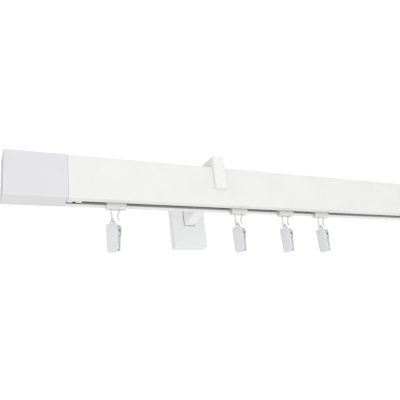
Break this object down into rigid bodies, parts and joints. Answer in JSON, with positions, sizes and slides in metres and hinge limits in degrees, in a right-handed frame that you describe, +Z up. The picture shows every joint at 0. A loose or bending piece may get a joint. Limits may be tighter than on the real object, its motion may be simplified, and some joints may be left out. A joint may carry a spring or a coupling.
{
  "type": "curtain track",
  "caption": "Slim white curtain track on two wall brackets, its end closed by box caps, with sliding gliders that carry wire hooks and spring clips.",
  "frame": {"origin": "on the wall, at the centre of the four screw holes of the two brackets", "axes": "+X along the rail, +Y to the wall, +Z up"},
  "size_m": [0.69, 0.081, 0.0988],
  "materials": {
    "rail_coat": "satin white powder coat on extruded aluminium",
    "cap_plastic": "cool white moulded plastic",
    "stop_plastic": "white moulded plastic",
    "bracket_coat": "satin white coat on a zinc casting",
    "cover_plastic": "white moulded plastic",
    "glider_plastic": "slippery white plastic",
    "hook_coat": "white coated spring wire",
    "clip_coat": "white lacquer on folded steel",
    "clip_wire": "white coated spring wire",
    "black_steel": "blackened steel",
    "bare_steel": "zinc plated steel"
  },
  "bodies": {
    "track": {"rail_profile": "rail_coat", "end_cap_left": "cap_plastic", "end_cap_right": "cap_plastic", "end_stop_left": "stop_plastic", "end_stop_right": "stop_plastic", "stop_grub_screws": "black_steel", "bracket_left": "bracket_coat", "bracket_right": "bracket_coat", "bracket_cover_left": "cover_plastic", "bracket_cover_right": "cover_plastic", "clamp_screws": "bare_steel", "clamp_nuts": "bare_steel"},
    "glider_set_1": {"glider_1": "glider_plastic", "glider_hook_1": "hook_coat"},
    "clip_set_1": {"clip_bail_1": "clip_wire", "clip_front_jaw_1": "clip_coat", "clip_pin_1": "bare_steel", "clip_spring_1": "bare_steel"},
    "clip_jaw_1": {"clip_back_jaw_1": "clip_coat"},
    "glider_set_2": {"glider_2": "glider_plastic", "glider_hook_2": "hook_coat"},
    "clip_set_2": {"clip_bail_2": "clip_wire", "clip_front_jaw_2": "clip_coat", "clip_pin_2": "bare_steel", "clip_spring_2": "bare_steel"},
    "clip_jaw_2": {"clip_back_jaw_2": "clip_coat"},
    "glider_set_3": {"glider_3": "glider_plastic", "glider_hook_3": "hook_coat"},
    "clip_set_3": {"clip_bail_3": "clip_wire", "clip_front_jaw_3": "clip_coat", "clip_pin_3": "bare_steel", "clip_spring_3": "bare_steel"},
    "clip_jaw_3": {"clip_back_jaw_3": "clip_coat"},
    "glider_set_4": {"glider_4": "glider_plastic", "glider_hook_4": "hook_coat"},
    "clip_set_4": {"clip_bail_4": "clip_wire", "clip_front_jaw_4": "clip_coat", "clip_pin_4": "bare_steel", "clip_spring_4": "bare_steel"},
    "clip_jaw_4": {"clip_back_jaw_4": "clip_coat"}
  },
  "joints": [
    {"name": "glider_slide_1", "type": "slide", "parent": "track", "child": "glider_set_1", "axis": [1, 0, 0], "range_m": [-0.015, 0.035]},
    {"name": "clip_swing_1", "type": "hinge", "parent": "glider_set_1", "child": "clip_set_1", "pos_m": [-0.2655, -0.0675, -0.0353], "axis": [0, 1, 0], "range_deg": [-25, 25]},
    {"name": "jaw_pinch_1", "type": "hinge", "parent": "clip_set_1", "child": "clip_jaw_1", "pos_m": [-0.26428, -0.06624, -0.0431], "axis": [0.7193, -0.6947, 0], "range_deg": [0, 13], "stiffness_Nm_per_rad": 0.06, "springref_deg": -20.05},
    {"name": "glider_slide_2", "type": "slide", "parent": "track", "child": "glider_set_2", "axis": [1, 0, 0], "range_m": [-0.04, 0]},
    {"name": "clip_swing_2", "type": "hinge", "parent": "glider_set_2", "child": "clip_set_2", "pos_m": [-0.154, -0.0675, -0.0353], "axis": [0, 1, 0], "range_deg": [-25, 25]},
    {"name": "jaw_pinch_2", "type": "hinge", "parent": "clip_set_2", "child": "clip_jaw_2", "pos_m": [-0.15252, -0.06657, -0.0431], "axis": [0.5299, -0.848, 0], "range_deg": [0, 13], "stiffness_Nm_per_rad": 0.06, "springref_deg": -20.05},
    {"name": "glider_slide_3", "type": "slide", "parent": "track", "child": "glider_set_3", "axis": [1, 0, 0], "range_m": [-0.016, 0.008]},
    {"name": "clip_swing_3", "type": "hinge", "parent": "glider_set_3", "child": "clip_set_3", "pos_m": [-0.1033, -0.0675, -0.0353], "axis": [0, 1, 0], "range_deg": [-25, 25]},
    {"name": "jaw_pinch_3", "type": "hinge", "parent": "clip_set_3", "child": "clip_jaw_3", "pos_m": [-0.10173, -0.06673, -0.0431], "axis": [0.4384, -0.8988, 0], "range_deg": [0, 13], "stiffness_Nm_per_rad": 0.06, "springref_deg": -20.05},
    {"name": "glider_slide_4", "type": "slide", "parent": "track", "child": "glider_set_4", "axis": [1, 0, 0], "range_m": [0, 0.337]},
    {"name": "clip_swing_4", "type": "hinge", "parent": "glider_set_4", "child": "clip_set_4", "pos_m": [-0.061, -0.0675, -0.0353], "axis": [0, 1, 0], "range_deg": [-25, 25]},
    {"name": "jaw_pinch_4", "type": "hinge", "parent": "clip_set_4", "child": "clip_jaw_4", "pos_m": [-0.05939, -0.06682, -0.0431], "axis": [0.3907, -0.9205, 0], "range_deg": [0, 13], "stiffness_Nm_per_rad": 0.06, "springref_deg": -20.05}
  ]
}
